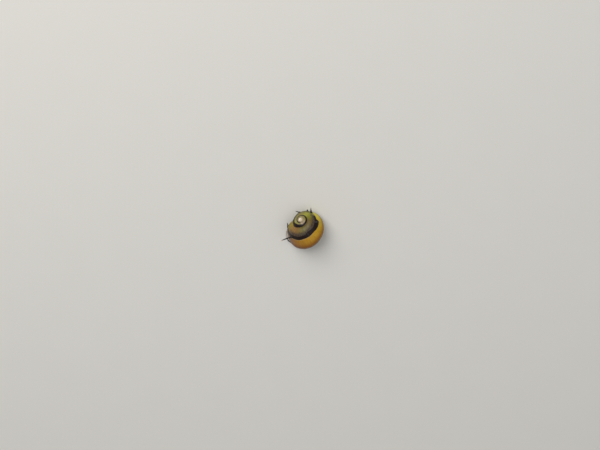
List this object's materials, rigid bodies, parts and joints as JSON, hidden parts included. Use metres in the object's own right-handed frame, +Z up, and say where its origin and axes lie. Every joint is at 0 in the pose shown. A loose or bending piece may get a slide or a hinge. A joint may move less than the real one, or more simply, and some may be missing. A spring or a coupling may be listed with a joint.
{
  "type": "nerite snail",
  "caption": "Life-size horned nerite snail, crawling, with a black and yellow coiled shell that carries short tapered spines.",
  "frame": {"origin": "on the floor, on the flat of the foot's rear part, under the middle of the shell", "axes": "+Z up, -Y the way the head looks, +X the animal's left"},
  "size_m": [0.0171, 0.0207, 0.0119],
  "materials": {
    "shell": "glossy shell with yellow, black and cream spiral bands, fine growth lines and a worn pale spire",
    "flesh": "moist soft skin, grey mottled with black",
    "sole": "moist pale grey skin",
    "eye": "wet black",
    "operculum": "smooth pinkish grey lime plate"
  },
  "bodies": {
    "root": {"shell": "shell", "foot_front": "sole", "foot_rear": "sole", "trunk": "flesh", "head": "flesh", "operculum": "operculum", "tentacle_left_root": "flesh", "tentacle_left_tip": "flesh", "tentacle_right_root": "flesh", "tentacle_right_tip": "flesh", "eye_stalk_left": "flesh", "eye_stalk_right": "flesh", "eye_left": "eye", "eye_right": "eye"}
  },
  "joints": []
}
